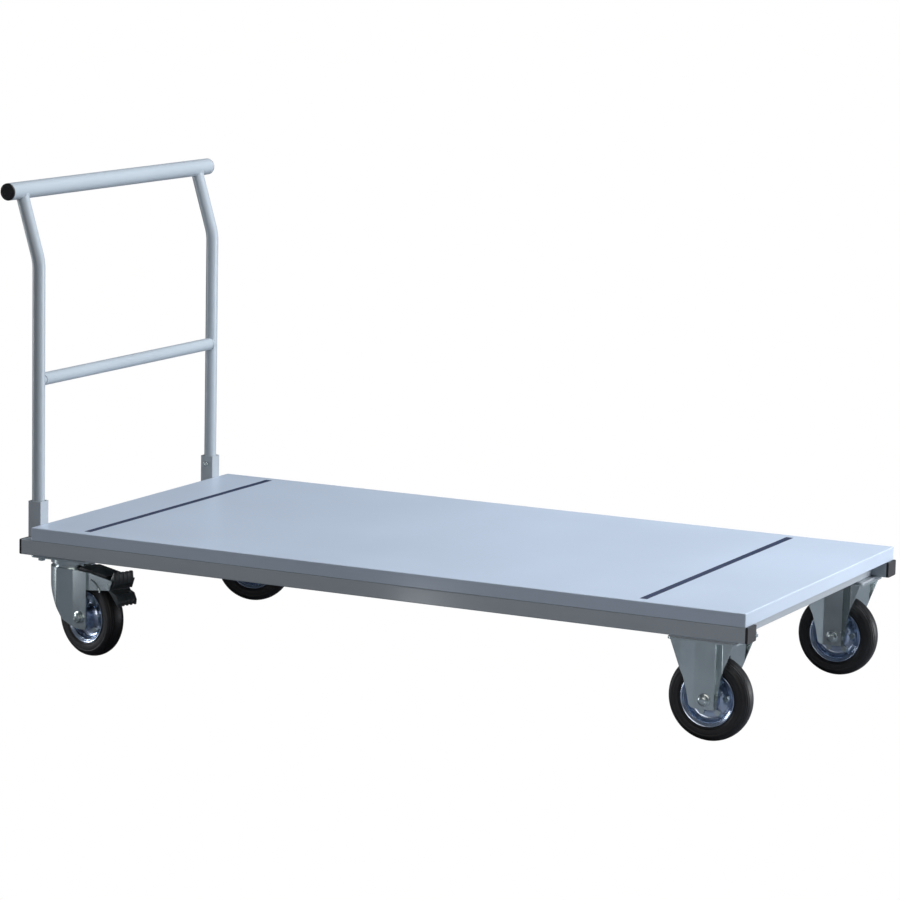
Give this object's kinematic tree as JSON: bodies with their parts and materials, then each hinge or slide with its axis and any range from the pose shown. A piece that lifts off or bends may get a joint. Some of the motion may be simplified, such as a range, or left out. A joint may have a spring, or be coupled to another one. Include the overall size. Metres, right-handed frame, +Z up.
{
  "type": "platform cart",
  "caption": "Flat platform cart with a lift-out tubular push handle, fixed front casters and braked swivel casters under the handle end.",
  "frame": {"origin": "on the floor under the middle of the cart's overall length and width", "axes": "+X from the handle end to the free end, +Y to the left of a person pushing, +Z up"},
  "size_m": [1.5778, 0.75, 0.9188],
  "materials": {
    "powder_coat_deck": "semi-gloss powder coat, light blue-grey",
    "powder_coat_frame": "semi-gloss powder coat, blue-grey",
    "powder_coat_handle": "semi-gloss powder coat, blue-grey",
    "grip_strip": "matt ribbed rubber",
    "plastic_plug": "matt moulded plastic",
    "tyre": "solid rubber tyre",
    "zinc_rim": "bright zinc-plated pressed steel",
    "zinc_fork": "zinc-plated pressed steel",
    "zinc_fastener": "zinc-plated",
    "bearing_steel": "oiled steel",
    "pedal_plastic": "moulded nylon",
    "black_steel": "black coated steel"
  },
  "bodies": {
    "frame": {"beam_end_plugs": "plastic_plug", "caster_nuts": "zinc_fastener", "caster_pads": "powder_coat_frame", "caster_studs": "zinc_fastener", "deck": "powder_coat_deck", "front_axle_nuts": "zinc_fastener", "front_axles": "zinc_fastener", "front_cross_member": "powder_coat_frame", "front_fork_left": "zinc_fork", "front_fork_right": "zinc_fork", "front_grip_strip": "grip_strip", "handle_socket_left": "powder_coat_frame", "handle_socket_right": "powder_coat_frame", "kingpins": "zinc_fastener", "middle_cross_members": "powder_coat_frame", "rear_cross_member": "powder_coat_frame", "rear_grip_strip": "grip_strip", "side_beam_left": "powder_coat_frame", "side_beam_right": "powder_coat_frame", "swivel_balls": "bearing_steel", "swivel_plate_left": "zinc_fork", "swivel_plate_right": "zinc_fork"},
    "handle": {"grip_bar": "powder_coat_handle", "grip_bar_plugs": "plastic_plug", "handle_leg_left": "powder_coat_handle", "handle_leg_right": "powder_coat_handle", "handle_rung": "powder_coat_handle"},
    "clamp_screw_left": {"clamp_screw_left": "zinc_fastener"},
    "clamp_screw_right": {"clamp_screw_right": "zinc_fastener"},
    "front_wheel_left": {"front_left_rim": "zinc_rim", "front_left_rim_bolts": "zinc_fastener", "front_left_roller_bearing": "bearing_steel", "front_left_tyre": "tyre"},
    "swivel_left": {"brake_arm_left": "zinc_fork", "brake_cover_left": "black_steel", "pedal_pin_left": "zinc_fastener", "rear_axle_left": "zinc_fastener", "rear_axle_nut_left": "zinc_fastener", "rear_fork_left": "zinc_fork"},
    "rear_wheel_left": {"rear_left_rim": "zinc_rim", "rear_left_rim_bolts": "zinc_fastener", "rear_left_roller_bearing": "bearing_steel", "rear_left_tyre": "tyre"},
    "pedal_left": {"brake_pedal_left": "pedal_plastic"},
    "front_wheel_right": {"front_right_rim": "zinc_rim", "front_right_rim_bolts": "zinc_fastener", "front_right_roller_bearing": "bearing_steel", "front_right_tyre": "tyre"},
    "swivel_right": {"brake_arm_right": "zinc_fork", "brake_cover_right": "black_steel", "pedal_pin_right": "zinc_fastener", "rear_axle_nut_right": "zinc_fastener", "rear_axle_right": "zinc_fastener", "rear_fork_right": "zinc_fork"},
    "rear_wheel_right": {"rear_right_rim": "zinc_rim", "rear_right_rim_bolts": "zinc_fastener", "rear_right_roller_bearing": "bearing_steel", "rear_right_tyre": "tyre"},
    "pedal_right": {"brake_pedal_right": "pedal_plastic"}
  },
  "joints": [
    {"name": "handle_lift", "type": "slide", "parent": "frame", "child": "handle", "axis": [0, 0, 1], "range_m": [0, 0.08]},
    {"name": "clamp_screw_turn_left", "type": "hinge", "parent": "frame", "child": "clamp_screw_left", "pos_m": [-0.73057, 0.3125, 0.2805], "axis": [0, -1, 0], "range_deg": [0, 360]},
    {"name": "clamp_screw_turn_right", "type": "hinge", "parent": "frame", "child": "clamp_screw_right", "pos_m": [-0.73057, -0.3125, 0.2805], "axis": [0, 1, 0], "range_deg": [0, 360]},
    {"name": "front_wheel_spin_left", "type": "hinge", "parent": "frame", "child": "front_wheel_left", "pos_m": [0.69793, 0.315, 0.08], "axis": [0, 1, 0], "continuous": true},
    {"name": "front_wheel_spin_right", "type": "hinge", "parent": "frame", "child": "front_wheel_right", "pos_m": [0.69793, -0.315, 0.08], "axis": [0, 1, 0], "continuous": true},
    {"name": "swivel_turn_left", "type": "hinge", "parent": "frame", "child": "swivel_left", "pos_m": [-0.66407, 0.301, 0.17], "axis": [0, 0, 1], "continuous": true},
    {"name": "rear_wheel_spin_left", "type": "hinge", "parent": "swivel_left", "child": "rear_wheel_left", "pos_m": [-0.61243, 0.31679, 0.08], "axis": [-0.2924, 0.9563, 0], "continuous": true},
    {"name": "brake_pedal_press_left", "type": "hinge", "parent": "swivel_left", "child": "pedal_left", "pos_m": [-0.53593, 0.34018, 0.153], "axis": [-0.2924, 0.9563, 0], "range_deg": [0, 18]},
    {"name": "swivel_turn_right", "type": "hinge", "parent": "frame", "child": "swivel_right", "pos_m": [-0.66407, -0.301, 0.17], "axis": [0, 0, 1], "continuous": true},
    {"name": "rear_wheel_spin_right", "type": "hinge", "parent": "swivel_right", "child": "rear_wheel_right", "pos_m": [-0.61243, -0.31679, 0.08], "axis": [0.2924, 0.9563, 0], "continuous": true},
    {"name": "brake_pedal_press_right", "type": "hinge", "parent": "swivel_right", "child": "pedal_right", "pos_m": [-0.53593, -0.34018, 0.153], "axis": [0.2924, 0.9563, 0], "range_deg": [0, 18]}
  ]
}
